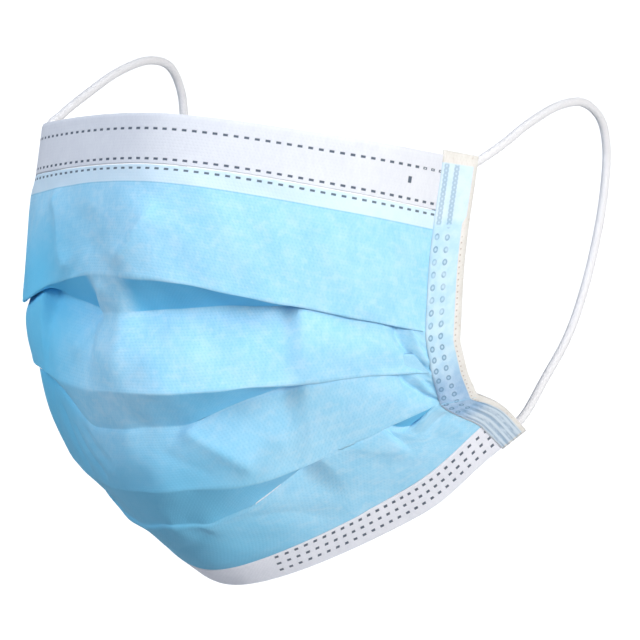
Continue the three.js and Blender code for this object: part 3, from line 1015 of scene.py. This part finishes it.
@dataclass
class MaskCloth:
    """The mask's cloth: top hem, pleated panel and bottom hem in one continuous run of rows."""

    form: WornForm
    cloth_thick: float = 0.35
    hem_thick: float = 0.5
    top_hem: float = 13.5
    bottom_hem: float = 13.0
    cloth_height: float = 157.0
    corner_lift: float = 1.5
    seam: float = 0.12
    turn: float = 0.78
    lap: float = 1.1
    folds_at: tuple[float, float, float] = (44.5, 77.0, 109.0)
    strip: float = 11.0
    crisp: float = 0.25
    corner: tuple[float, float] = (71.0, 11.0)
    hem_rows: tuple[tuple[float, float, int], ...] = ((0.0, 3.2, 5), (3.7, 12.6, 22), (13.0, 13.38, 2))
    hem_flare: float = 0.1
    panel_rows: tuple[int, ...] = (44, 24, 24, 38)
    strip_rows: int = 9
    strip_inset: float = 0.4
    strip_short: float = 0.35
    rim_round: tuple[float, float] = (0.35, 0.3)
    pressed_left: float = 33.0
    pressed_right: float = 58.0
    pleats: tuple[Pleat, ...] = (
        Pleat(
            "fold1",
            1.2,
            -0.35,
            (
                (-88, 0, 0, -6, 1.2), (-64, 0, 0.3, -6, 1.6), (-57, -3.5, 1.8, -6, 6.0),
                (-50, -3.4, 2.0, -4, 7.0), (-44, -1.6, 0.8, -1.0, 6.0), (-40, -0.6, 0.4, 2.2, 4.6),
                (-34, -0.4, 0.2, 4.9, 5.2), (-28, 0.1, 0.1, 7.3, 6.0), (-20.5, 0.9, 0, 10.2, 6.2),
                (-17, 0.6, 0, 10.3, 2.2), (-10, 0.3, 0.2, 10.3, 2.0), (-4, 0, 0.7, 10.0, 6.4),
                (2, -0.2, 0.9, 9.4, 7.8), (8, -0.5, 0.9, 8.4, 7.8), (20, -0.6, 0.7, 5.2, 7.2),
                (26, -0.6, 0.5, 3.4, 6.4), (38, 0, 0.2, 0.4, 4.6), (46, 0.2, 0.1, -3, 2.8),
                (58, 0.3, 0, -6, 1.6), (88, 0, 0, -6, 1.2),
            ),
        ),
        Pleat(
            "fold2",
            1.0,
            -0.35,
            (
                (-88, 0, 0, -6, 1.2), (-60, 0, 0, -6, 1.8), (-52, -0.6, 0.2, -2, 3.6),
                (-46, -0.8, 0.2, 1.8, 4.2), (-40, -0.8, 0.2, 4.0, 4.2), (-34, -1.1, 0.2, 6.2, 4.2),
                (-22, -1.2, 0.2, 10.6, 4.2), (-10, -0.5, 0.3, 10.3, 4.4), (-4, -0.1, 0.4, 9.8, 5.6),
                (8.5, 0, 0.6, 9.7, 6.8), (14, 0.1, 0.8, 7.9, 7.0), (26, 0.2, 0.8, 3.8, 5.6),
                (38, -0.1, 0.7, 0.2, 4.2), (46, -0.1, 0.5, -3, 3.2), (58, 0.3, 0, -6, 1.6),
                (88, 0, 0, -6, 1.2),
            ),
        ),
        Pleat(
            "fold3",
            0.0,
            0.9,
            (
                (-88, 0, 0, -6, 1.2), (-60, 0, 0, -5, 2.6), (-50, -1.2, 0, 0, 4.5),
                (-40, -1.4, 0, 5, 6.5), (-28, -1.5, 0.2, 9.0, 7.8), (-16, -1.1, 0.4, 10.4, 8.0),
                (-4, -0.4, 0.4, 9.4, 8.0), (8, -0.5, 0.9, 10.3, 8.4), (13.5, -1.1, 1.4, 10.8, 8.8),
                (26, -2.3, 2.0, 7.4, 8.0), (32, -2.2, 2.0, 4.6, 7.0), (40, -1.8, 1.8, 0.8, 5.6),
                (48, -0.7, 1.5, -3, 4.0), (56, 0.6, 1.0, -3, 3.2), (62, 1.9, 0.7, 0.2, 3.6),
                (67, 2.4, 0.8, 3.4, 5.0), (71.5, 2.6, 0.6, 4.6, 5.0), (74.5, 2.5, 0.2, 1.5, 3.0),
                (77, 2.3, 0, -5, 1.6), (88, 0.6, 0, -6, 1.2),
            ),
        ),
    )
    creases: tuple[Crease, ...] = (
        # the bend where the front turns into the right flank
        Crease(((3, 22), (-1.9, 30.4), (-5.1, 36), (-12, 43.5)), 2.3, 4.5, 8.0),
        Crease(((-41, 18), (-36.4, 26.1), (-33.7, 36.5), (-28.4, 43.9)), 1.7, 4.0, 5.0),
        Crease(((-20, 24), (-22, 32), (-21, 41)), -0.8, 5.0, 6.0),
        Crease(((-17, 57.5), (-24, 63.8), (-28.2, 71)), 0.9, 3.0, 5.0),
        Crease(((-14.5, 46), (-17, 50), (-18.5, 57)), 0.9, 2.0, 3.0),
        Crease(((-10, 30), (-16, 37), (-22, 43)), -0.5, 4.0, 6.0),
        # facets of the third panel
        Crease(((7.3, 88.5), (16.9, 98.2), (27, 106.5)), 1.5, 3.0, 4.0),
        Crease(((0, 94), (10, 101), (18, 107)), -0.6, 3.5, 6.0),
        Crease(((28, 95), (33, 101), (37, 107)), 0.4, 3.0, 6.0),
        Crease(((-37, 93), (-29, 97.5), (-24, 101.3), (-18, 107)), -0.9, 1.3, 5.0),
        Crease(((-30, 90), (-22, 95), (-13, 102)), -0.7, 1.3, 5.0),
        Crease(((-45, 92), (-36, 100), (-28, 107)), -0.8, 1.4, 5.0),
        # lowest panel
        Crease(((13.5, 121), (4, 129), (-8, 134)), -0.5, 2.5, 5.0),
        Crease(((22, 122), (30, 131), (34, 142)), -0.5, 3.5, 6.0),
        Crease(((40, 118), (52, 124), (62, 134)), 0.5, 3.5, 6.0),
        # puckers beside the left tape
        Crease(((68.8, 60), (69.4, 66), (71.2, 71.5), (74.5, 74.8), (77.5, 76.5)), -2.2, 1.5, 1.5),
        Crease(((72.5, 60), (74.5, 68), (77, 72.5)), 0.9, 1.1, 2.0),
        Crease(((75.5, 62), (76.2, 68), (77.5, 71)), -0.8, 1.0, 2.0),
        Crease(((68, 91), (69.2, 97), (72.5, 102.5), (77, 106.5)), -2.4, 1.7, 1.5),
        Crease(((72, 94), (74.3, 100), (77.5, 105)), 0.8, 1.0, 2.0),
        Crease(((75, 94), (76.2, 100), (78, 104)), -1.0, 1.0, 2.0),
        Crease(((72, 127), (78, 129), (82, 137)), -1.0, 1.9, 2.0),
        # puckers beside the right tape
        Crease(((-70, 62), (-72.5, 70), (-78, 75)), -0.8, 1.6, 2.0),
        Crease(((-70, 95), (-73.5, 101), (-79, 106)), -0.8, 1.5, 2.0),
        Crease(((-73, 127), (-78, 131), (-82, 139)), -0.7, 1.9, 2.0),
    )
    ripples: tuple[Ripple, ...] = (
        Ripple(0.32, 61.0, 140.0, 0.7),
        Ripple(0.22, -37.0, 66.0, 2.1),
        Ripple(0.10, 19.0, 35.0, 0.3),
        Ripple(0.07, -13.0, 17.0, 1.1),
    )

    def inward(self, row: Grid) -> Grid:
        """The level direction towards the face.

        Args:
            row: Points of shape (stations, 3).

        Returns:
            Unit vectors of the same shape.
        """
        step = np.gradient(row, axis=0)
        flat = np.stack([-step[:, 1], step[:, 0], np.zeros(len(step))], axis=1)
        return flat / np.linalg.norm(flat, axis=1, keepdims=True)

    def rows_between(
        self,
        controls: Sequence[Grid],
        v_from: float,
        v_to: float,
        count: int,
        start: float | Grid = 0.0,
        end: float | Grid = 0.0,
    ) -> tuple[Grid, Grid]:
        """Evenly spread rows of a smooth panel, with a close pair at both ends for a crisp crease.

        Args:
            controls: Rows of shape (stations, 3).
            v_from: Flat-cloth height of the first row.
            v_to: Flat-cloth height of the last row.
            count: Number of rows.
            start: Distance of the first row from the first control row.
            end: Distance of the last row from the last control row.

        Returns:
            Points of shape (count + 2, stations, 3) and their flat-cloth heights.
        """
        curves = catmull_rom(np.stack(controls), CURVE_STEPS)
        length = curve_lengths(curves)
        close = self.crisp / (v_to - v_from)
        share = np.concatenate([[0.0, close], np.linspace(0, 1, count)[1:-1], [1 - close, 1.0]])
        lengths = start + share[:, None] * (length - start - end)[None]
        return at_lengths(curves, lengths), v_from + share * (v_to - v_from)

    def edge_row(self, row: Grid, pleat: Pleat) -> Grid:
        """A fold's edge: its section, lifted and flared as the pleat's shape says.

        Args:
            row: The section.
            pleat: The pleat.

        Returns:
            Points of shape (stations, 3).
        """
        across = self.form.stations * self.form.half_arc
        lift, flare = pleat.column(1, across), pleat.column(2, across)
        return row + np.array([0.0, 0.0, 1.0]) * lift[:, None] - self.inward(row) * flare[:, None]

    def below_fold(self, fold: Grid, above: Grid, pleat: Pleat) -> tuple[Grid, Grid, Grid]:
        """Finds the rows that turn a pleat.

        Args:
            fold: The fold's edge.
            above: A row just above it.
            pleat: The pleat's shape.

        Returns:
            The row behind the fold's edge, the row of the strip's back crease and a row of the
            next panel just below both.
        """
        across = self.form.stations * self.form.half_arc
        drop, depth = pleat.column(3, across), pleat.column(4, across)
        full = self.form.fullness()
        shown = smoothstep(drop, -1.2, 1.2)[:, None]
        inward = self.inward(fold)
        up = unit(above - fold)
        down = np.array([0.0, 0.0, -1.0])
        shut = np.minimum(drop, 0)[:, None] * full[:, None]
        behind = inward * (depth * full + 0.05)[:, None]
        back = fold + behind - up * shut + down * np.maximum(drop, 0)[:, None]
        turn = fold + (inward * self.turn * full[:, None]) * (1 - shown) + (back - fold) * 0.05 * shown
        level_shut = fold + inward * (self.lap * full[:, None]) - up * 0.6
        level_open = back + down * 2.0 + inward * pleat.lead
        level = level_shut * (1 - shown) + level_open * shown
        return turn, back, level

    def whole(self) -> dict[str, ClothGrid]:
        """All rows of the cloth, by piece."""
        row = {name: self.form.row(name) for name in self.form.sections}
        for pleat in self.pleats:
            row[pleat.fold] = self.edge_row(row[pleat.fold], pleat)
        across = self.form.stations * self.form.half_arc
        corner_place, corner_width = self.corner
        lifted = np.exp(-(((across - corner_place) / corner_width) ** 2))
        row["bottom"][:, 2] += self.corner_lift * lifted
        upper = [row["top"], row["brow"], row["fold1"]]
        heights = np.concatenate([np.linspace(low, high, count) for low, high, count in self.hem_rows])
        wide = 1 + self.hem_flare * smoothstep(across, 15.0, 85.0)
        hem = at_lengths(catmull_rom(np.stack(upper), CURVE_STEPS), heights[:, None] * wide[None])
        below_hem = self.top_hem + self.seam
        first = self.rows_between(upper, below_hem, self.folds_at[0], self.panel_rows[0], below_hem * wide)
        blocks: list[tuple[Grid, Grid]] = [first]
        ends = (*self.folds_at[1:], self.cloth_height - self.bottom_hem - self.seam)
        below = ("fold2", "fold3", "")
        runs = zip(self.pleats, self.folds_at, ends, self.panel_rows[1:], below)
        for pleat, v_fold, v_end, count, name in runs:
            turn, start, level = self.below_fold(row[pleat.fold], blocks[-1][0][-4], pleat)
            v_strip, inset = v_fold + self.strip, self.strip_inset
            hidden = self.rows_between(
                [turn, start], v_fold + inset, v_strip - inset, self.strip_rows, 0.0, self.strip_short
            )
            blocks.append(hidden)
            if name:
                swell = self.inward(row[name]) * pleat.crown * self.form.fullness()[:, None]
                controls = [start, level, (level + row[name]) / 2 - swell, row[name]]
                blocks.append(self.rows_between(controls, v_strip, v_end, count))
            else:
                controls = [start, level, row["jaw"], row["bottom"]]
                curves = catmull_rom(np.stack(controls), CURVE_STEPS)
                length = curve_lengths(curves)
                reach = self.hem_reach(curves, length)
                blocks.append(self.rows_between(controls, v_strip, v_end, count, 0.0, reach + self.seam))
        drops = np.concatenate([np.linspace(1.0 - self.seam / self.bottom_hem, 0.06, 14), [0.025, 0.0]])
        low = at_lengths(curves, length[None] - drops[:, None] * reach[None])
        points = np.concatenate([b[0] for b in blocks])
        v = np.concatenate([b[1] for b in blocks])
        return {
            "top_hem": self.flat_grid(hem, heights, across),
            "outer_panel": self.flat_grid(points, v, across),
            "bottom_hem": self.hem_grid(low),
        }

    def hem_reach(self, curves: Grid, length: Grid) -> Grid:
        """How far up each of the lowest panel's curves the hem reaches, for one width all along.

        Args:
            curves: The curves that run down the lowest panel, of shape (m, stations, 3).
            length: Their lengths.

        Returns:
            The reach along each curve.
        """
        edge = curves[-1]
        backs = np.linspace(0, 24, 49)
        points = at_lengths(curves, length[None] - backs[:, None])
        gaps = np.linalg.norm(points[:, :, None] - edge[None, None], axis=3).min(axis=2)
        want = self.bottom_hem * (1 + 0.1 * smoothstep(self.form.stations, 0.3, 0.8))
        reach = np.array([np.interp(want[i], gaps[:, i], backs) for i in range(len(edge))])
        for _ in range(12):
            reach[1:-1] = reach[1:-1] * 0.5 + (reach[:-2] + reach[2:]) * 0.25
        return reach

    def hem_grid(self, low: Grid) -> ClothGrid:
        """The lower hem with its flat places square to its edge.

        Args:
            low: Its points, of shape (rows, stations, 3).

        Returns:
            The grid.
        """
        edge = catmull_rom(low[-1][:, None, :], 4)[:, 0]
        steps = np.linalg.norm(np.diff(edge, axis=0), axis=1)
        along = np.concatenate([[0], np.cumsum(steps)])
        gaps = np.linalg.norm(low[:, :, None] - edge[None, None], axis=3)
        middle = along[len(edge) // 2]
        across = along[gaps.argmin(axis=2)] - middle
        down = self.cloth_height - gaps.min(axis=2)
        return ClothGrid(low, np.stack([across, down], axis=2))

    def flat_grid(self, points: Grid, heights: Grid, across: Grid) -> ClothGrid:
        """A grid with its place on the flat cloth."""
        u, v = np.meshgrid(across, heights)
        return ClothGrid(points, np.stack([u, v], axis=2))

    def relief(self, grid: ClothGrid) -> Grid:
        """Lift of creases and ripples, fading under the tapes.

        Args:
            grid: The cloth before it is creased.

        Returns:
            The lift in millimetres, of shape (rows, stations).
        """
        across, down = grid.uv[..., 0], grid.uv[..., 1]
        height = np.zeros(across.shape)
        for shape in (*self.creases, *self.ripples):
            height += shape.height(across, down)
        # beside the tapes the pleats are shut, and the layers there must stay apart
        shut = smoothstep(np.abs(across), 50.0, 60.0)
        for fold in self.folds_at:
            near = smoothstep(down, fold - 2.5, fold - 0.5)
            near = near - smoothstep(down, fold + self.strip, fold + self.strip + 2.5)
            height *= 1 - shut * near
        return height * (1 - smoothstep(np.abs(across), 75.4, 77.4))

    def build(self) -> dict[str, bpy.types.Object]:
        """Makes the three cloth pieces.

        Returns:
            The objects, by the name of the part's node that each stands for.
        """
        grids = self.whole()
        made: dict[str, bpy.types.Object] = {}
        panel = grids["outer_panel"]
        panel.points = soften_rows(panel.points, 1)
        ends = smoothstep(panel.uv[..., 1], self.top_hem, self.top_hem + 5)
        low_edge = self.cloth_height - self.bottom_hem
        ends = ends * (1 - smoothstep(panel.uv[..., 1], low_edge - 5, low_edge))
        panel = panel.lifted(self.relief(panel) * ends)
        self.grids = {"outer_panel": panel}
        for name, grid, thick in (
            ("top_hem", grids["top_hem"], self.hem_thick),
            ("outer_panel", panel, self.cloth_thick),
            ("bottom_hem", grids["bottom_hem"], self.hem_thick),
        ):
            normals = grid_normals(grid.points)
            outer = grid.points
            inside = np.ones(grid.uv.shape[:2], np.int32)
            if name == "outer_panel":
                # in a pleat's hidden strip the plies are pressed flat, and the blue one shows through
                across, down = grid.uv[..., 0], grid.uv[..., 1]
                pressed = (across > self.pressed_left) | (across < -self.pressed_right)
                for fold in self.folds_at:
                    inside[pressed & (down > fold - 0.7) & (down < fold + self.strip + 0.7)] = 2
            inner = grid.points - normals * thick
            # the free edges are slightly rounded
            for hem, edge in (("top_hem", 0), ("bottom_hem", -1)):
                if name == hem:
                    outer[edge] -= normals[edge] * thick * self.rim_round[0]
                    inner[edge] += normals[edge] * thick * self.rim_round[1]
            self.grids[name] = ClothGrid(outer, grid.uv)
            made[name] = cloth_shell("cloth_" + name, outer, inner, grid.uv, inside)
        return made


@dataclass
class SideBinding:
    """Tape folded round a side edge of the mask."""

    form: WornForm
    rows: Grid
    side: Side
    wall: float = 0.14
    lift: float = 0.06
    under: float = 1.3
    gather: float = 0.3
    tab_top: float = 1.3
    tab_low: float = 0.5
    columns: int = 10
    count: int = 150
    length: float = 99.0
    bulge: float = 0.45
    over: float = 0.3
    gather_from: tuple[float, float] = (32.0, 14.0)

    def points_across(self, line: Grid, sign: int, share: float) -> Grid:
        """Points from the side edge inwards on one row of cloth, of shape (columns, 3)."""
        want = sign * (1 - share * np.linspace(0, 1, self.columns))
        return np.stack([np.interp(want, self.form.stations, line[:, k]) for k in range(3)], axis=1)

    def build(self) -> bpy.types.Object:
        """Makes the tape.

        Returns:
            The object.
        """
        sign = self.side.value
        share = self.form.binding_width / self.form.half_arc
        edge = self.rows[:, -1 if self.side is Side.LEFT else 0]
        run = np.concatenate([[0], np.cumsum(np.linalg.norm(np.diff(edge, axis=0), axis=1))])
        start, full = self.gather_from
        narrow = 1 - self.gather * smoothstep(run, run[-1] - start, run[-1] - full)
        lines = np.stack([self.points_across(line, sign, share * n) for line, n in zip(self.rows, narrow)])
        top = lines[0] + unit(lines[0] - lines[2]) * self.tab_top
        low = lines[-1] + unit(lines[-1] - lines[-3]) * self.tab_low
        lines = np.concatenate([top[None], lines, low[None]])
        count, length = self.count, curve_lengths(lines)
        even = at_lengths(lines, np.linspace(0, 1, count)[:, None] * length[None])
        even = soften_rows(even, 3)
        normals = grid_normals(even) * (-sign)
        out = unit(even[:, 0] - even[:, 1])
        high = self.lift + self.wall
        # past the cloth's top edge both legs of the tape lie flat together
        low_side = self.lift - (self.lift + self.under) * smoothstep(
            np.linspace(-self.tab_top, length[0] - self.tab_top, count), -0.6, 2.0
        )[:, None]
        ring: list[Grid] = []
        across: list[float] = []
        width = self.form.binding_width

        def leg(lift: float | Grid, order: range, over: float) -> None:
            """Adds one face of the tape, a lift off the cloth and standing over its edge."""
            for k in order:
                point = even[:, k] + normals[:, k] * lift
                if k == 0:
                    point = point + out * over
                ring.append(point)
                across.append(width * k / (self.columns - 1))

        n = self.columns
        outer_over = self.wall * 0.6 + self.over
        leg(high, range(n - 1, -1, -1), outer_over)
        ring.append(even[:, 0] + out * (self.wall + self.bulge) + normals[:, 0] * (high + low_side) / 2)
        across.append(-0.6)
        leg(low_side - self.wall, range(0, n), outer_over)
        leg(low_side, range(n - 1, -1, -1), self.over)
        leg(self.lift, range(0, n), self.over)
        rings = np.stack(ring, axis=1)
        down = np.linspace(-self.tab_top, self.length, count)
        closed = across + [across[0]]
        uv = np.stack(np.meshgrid(closed, down), axis=2)
        return ring_body(f"tape_side_{self.side.name.lower()}", rings, uv)


@dataclass
class EarLoop:
    """Round elastic cord from the top to the lower corner of one side."""

    form: WornForm
    side: Side
    diameter: float = 2.3
    reach: float = 67.5
    spread: float = 1.5
    height: float = 80.0
    top_drop: float = 6.5
    top_end: float = 3.5
    low_end: float = 3.0
    hidden: float = 3.0
    behind: float = 2.0
    clear: float = 1.2
    ring_step: float = 0.9
    around: int = 20
    far_top: tuple[tuple[float, float], ...] = (
        (-0.09, 0.122),
        (0.0, 0.09),
        (0.208, 0.045),
        (0.467, 0.001),
        (0.727, -0.006),
        (0.887, 0.037),
        (0.969, 0.126),
        (0.99, 0.22),
    )
    path: tuple[tuple[float, float], ...] = (
        (0.17, 0.085),
        (0.41, 0.03),
        (0.64, 0.0),
        (0.82, 0.015),
        (0.955, 0.09),
        (1.0, 0.195),
        (0.985, 0.34),
        (0.93, 0.495),
        (0.84, 0.655),
        (0.73, 0.785),
        (0.56, 0.905),
    )

    def anchor(self, rows: Grid, from_top: bool) -> tuple[Grid, Grid, Grid]:
        """Where the cord leaves the side edge.

        Args:
            rows: The rows of cloth that the tape follows.
            from_top: Whether it is the top end.

        Returns:
            The point, the outward direction along the cloth and the cloth's outward normal.
        """
        column, within = (-1, -4) if self.side is Side.LEFT else (0, 3)
        steps = np.linalg.norm(np.diff(rows[:, column], axis=0), axis=1)
        along = np.concatenate([[0], np.cumsum(steps)])
        want = self.top_end if from_top else along[-1] - self.low_end
        k = int(np.abs(along - want).argmin())
        out = unit(rows[k, column] - rows[k, within])
        return rows[k, column], out, grid_normals(rows)[k, within]

    def route(self, rows: Grid) -> Grid:
        """The cord's chosen points, with both ends welded behind the tape.

        Args:
            rows: The rows of cloth that the tape follows.

        Returns:
            Points of shape (n, 3), from the top end to the low end.
        """
        anchors = (self.anchor(rows, True), self.anchor(rows, False))
        top, low = anchors[0][0], anchors[1][0]
        corner = self.form.edge_curve(self.side)[0, 0]
        path = self.path if self.side is Side.LEFT else (*self.far_top, *self.path[6:])
        points = [
            np.array(
                [
                    top[0] + (low[0] - top[0]) * down + self.side.value * back * self.spread,
                    corner[1] + back * self.reach,
                    -self.top_drop - down * self.height,
                ]
            )
            for back, down in path
        ]
        ends = []
        far_in = 2.0 if self.side is Side.RIGHT else 1.0
        for end, out, face in anchors:
            hidden = end - out * self.hidden * far_in - face * self.behind
            ends.append((hidden, end + out * self.clear - face * self.behind * 0.8))
        return np.array([ends[0][0], *points, *reversed(ends[1])])

    def build(self, rows: Grid) -> tuple[bpy.types.Object, Grid]:
        """Makes the cord.

        Args:
            rows: The rows of cloth that the tape follows.

        Returns:
            The object and the ring centres in millimetres.
        """
        line = centripetal(self.route(rows), 14)[:, None, :]
        length = float(curve_lengths(line)[0])
        count = int(length / self.ring_step)
        centres = at_lengths(line, np.linspace(0, length, count)[:, None])[:, 0]
        tangent = unit(np.gradient(centres, axis=0))
        sideways = unit(np.cross(tangent, np.array([1.0, 0.0, 0.0])))
        level = unit(np.cross(sideways, tangent))
        angle = np.linspace(0, 2 * math.pi, self.around, endpoint=False)
        rings = (
            centres[:, None]
            + sideways[:, None] * np.cos(angle)[None, :, None] * self.diameter / 2
            + level[:, None] * np.sin(angle)[None, :, None] * self.diameter / 2
        )
        u = np.linspace(0, math.pi * self.diameter, self.around + 1)
        v = np.linspace(0, length, count)
        uv = np.stack(np.meshgrid(u, v), axis=2)
        return ring_body(f"cord_ear_{self.side.name.lower()}", rings, uv), centres


# --------------------------------------------------------------------------- studio


@dataclass
class Studio:
    """Camera, soft lights and a pale floor."""

    azimuth: float = 30.0
    elevation: float = 10.0
    target: tuple[float, float, float] = (24.6, 39.1, -58.8)
    distance: float = 6000.0
    scale: float = 3.8
    sensor: float = 36.0
    frame_width: float = 640.0
    floor_drop: float = 1000.0
    light_distance: float = 1.2
    light_target: tuple[float, float, float] = (0.0, 30.0, -60.0)
    backdrop_size: float = 5.0
    backdrop_place: tuple[float, float] = (5.6, 0.3)

    def place(
        self, data: bpy.types.ID, azimuth: float, elevation: float, far: float, target: Vector
    ) -> None:
        """Adds a camera or a light that looks at a point.

        Args:
            data: The camera or light.
            azimuth: Degrees round from the front, towards +X.
            elevation: Degrees above the horizon.
            far: Distance from the point in metres.
            target: The point, in metres.
        """
        made = bpy.data.objects.new(data.name, data)
        a, e = math.radians(azimuth), math.radians(elevation)
        towards = Vector((math.sin(a) * math.cos(e), -math.cos(a) * math.cos(e), math.sin(e)))
        made.location = target + towards * far
        made.rotation_euler = (-towards).to_track_quat("-Z", "Y").to_euler()
        bpy.context.scene.collection.objects.link(made)

    def camera(self) -> None:
        """Sets the camera at the photograph's angle and scale."""
        data = bpy.data.cameras.new("camera")
        data.sensor_width = self.sensor
        data.lens = self.scale * self.sensor * self.distance / self.frame_width
        data.clip_start, data.clip_end = 0.05, 60.0
        target = Vector(self.target) * MM
        self.place(data, self.azimuth, self.elevation, self.distance * MM, target)
        bpy.context.scene.camera = bpy.data.objects["camera"]

    def light(self, name: str, turned: tuple[float, float], size: float, power: float, tint: str) -> None:
        """Adds a soft square light aimed at the mask.

        Args:
            name: Name of the light.
            turned: Degrees round from the front, towards +X, and above the horizon.
            size: Edge in metres.
            power: Watts.
            tint: Hex colour.
        """
        data = bpy.data.lights.new(name, "AREA")
        data.size, data.energy = size, power
        data.color = srgb(tint)[:3]
        self.place(data, *turned, self.light_distance, Vector(self.light_target) * MM)

    def floor(self) -> None:
        """Adds the pale floor."""
        bpy.ops.object.select_all(action="DESELECT")
        bpy.ops.mesh.primitive_plane_add(size=40.0, location=(0, 0, -self.floor_drop * MM))
        made = bpy.context.object
        made.name = "studio_floor"
        material = bpy.data.materials.new("white_paper_floor")
        material.use_nodes = True
        shader = material.node_tree.nodes["Principled BSDF"]
        shader.inputs["Base Color"].default_value = srgb("#F4F5F7")
        shader.inputs["Roughness"].default_value = 0.9
        made.data.materials.append(material)

    def world(self) -> None:
        """Sets an even white surround."""
        world = bpy.data.worlds.new("studio_surround")
        world.use_nodes = True
        background = world.node_tree.nodes["Background"]
        background.inputs[0].default_value = srgb("#E9F2FF")
        background.inputs[1].default_value = 0.2
        bpy.context.scene.world = world
        bpy.context.scene.view_settings.view_transform = "Standard"

    def build(self) -> None:
        """Sets up camera, surround, floor and lights."""
        self.camera()
        self.world()
        self.floor()
        self.light("key_light", (76.0, 13.0), 0.35, 12.8, "#FFFCF6")
        self.light("side_fill", (-28.0, 36.0), 0.5, 8.0, "#EFF6FF")
        self.light("top_light", (25.0, 72.0), 0.6, 4.5, "#FFFFFF")
        self.backdrop_light(180.0, 110.0)
        for turn in (0.0, 90.0, 270.0):
            self.backdrop_light(turn, 9.0)

    def backdrop_light(self, turn: float, power: float) -> None:
        """Adds a wide light that faces down on the floor beyond the mask, to keep it pale.

        Args:
            turn: Degrees round from the camera's side.
            power: Watts.
        """
        data = bpy.data.lights.new("backdrop_light", "AREA")
        data.size, data.energy = self.backdrop_size, power
        made = bpy.data.objects.new("backdrop_light", data)
        a = math.radians(self.azimuth + turn)
        far, height = self.backdrop_place
        made.location = (far * math.sin(a), -far * math.cos(a), height)
        bpy.context.scene.collection.objects.link(made)


# --------------------------------------------------------------------------- assembly


def dress(piece: bpy.types.Object, node: str, materials: Sequence[bpy.types.Material]) -> None:
    """Gives a piece its finishes and puts it in the place of its node.

    Args:
        piece: The finished mesh object.
        node: Name of the part's node that it stands for.
        materials: Its finishes, in the order of its faces' material numbers.
    """
    for material in materials:
        piece.data.materials.append(material)
    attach(piece, "root")
    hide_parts(node)
    LOG.info("%s: %d faces", piece.name, len(piece.data.polygons))


def main() -> None:
    """Builds the studio and every piece of the mask."""
    logging.basicConfig(level=logging.INFO)
    Studio().build()
    form = WornForm()
    finishes = Finishes()
    cloth = MaskCloth(form)
    pieces = cloth.build()
    dress(pieces["top_hem"], "top_hem", [finishes.top_band()] * 2)
    plies = [finishes.blue_panel(), finishes.white_inner(), finishes.pressed_plies()]
    dress(pieces["outer_panel"], "outer_panel", plies)
    dress(pieces["bottom_hem"], "bottom_hem", [finishes.lower_band()] * 2)
    tape = finishes.binding()
    elastic = finishes.elastic()
    all_rows = edge_rows(cloth)
    for side in Side:
        name = side.name.lower()
        binding = SideBinding(form, all_rows, side).build()
        dress(binding, f"side_binding_{name}", [tape])
        loop = EarLoop(form, side)
        cord, centres = loop.build(all_rows)
        dress(cord, f"ear_loop_{name}", [elastic])


def edge_rows(cloth: MaskCloth) -> Grid:
    """The cloth's visible rows, which the side tapes and cords follow.

    Args:
        cloth: The built cloth.

    Returns:
        Points of shape (rows, stations, 3), from the top edge to the lower edge.
    """
    panel = cloth.grids["outer_panel"]
    down = panel.uv[:, 0, 1]
    hidden = np.zeros(len(down), bool)
    for fold in cloth.folds_at:
        hidden |= (down > fold + 0.2) & (down < fold + cloth.strip + 1.2)
    rows = [cloth.grids["top_hem"].points, panel.points[~hidden], cloth.grids["bottom_hem"].points]
    return np.concatenate(rows)


if __name__ == "__main__":
    main()
